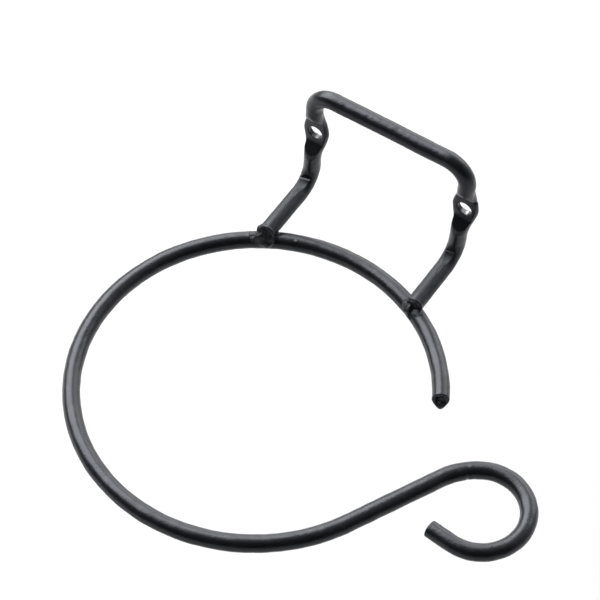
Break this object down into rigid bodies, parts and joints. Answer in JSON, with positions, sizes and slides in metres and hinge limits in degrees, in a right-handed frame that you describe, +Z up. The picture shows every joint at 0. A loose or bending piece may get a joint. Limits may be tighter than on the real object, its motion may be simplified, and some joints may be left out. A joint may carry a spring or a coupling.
{
  "type": "hair dryer holder",
  "caption": "Wall-mounted round-bar holder: an open ring with a reverse curl at its outer end, welded under a bracket with screw eyes pressed flat.",
  "frame": {"origin": "midway between the screw holes, on the wall plane that the eyes lie against", "axes": "+Z up, +Y into the wall, so the holder stands out towards -Y, and +X towards the curl"},
  "size_m": [0.1459, 0.1265, 0.0495],
  "materials": {
    "black_paint": "satin",
    "painted_weld": "satin, lumpy"
  },
  "bodies": {
    "root": {"ring_bar": "black_paint", "mounting_bar": "black_paint", "weld_left": "painted_weld", "weld_right": "painted_weld"}
  },
  "joints": []
}
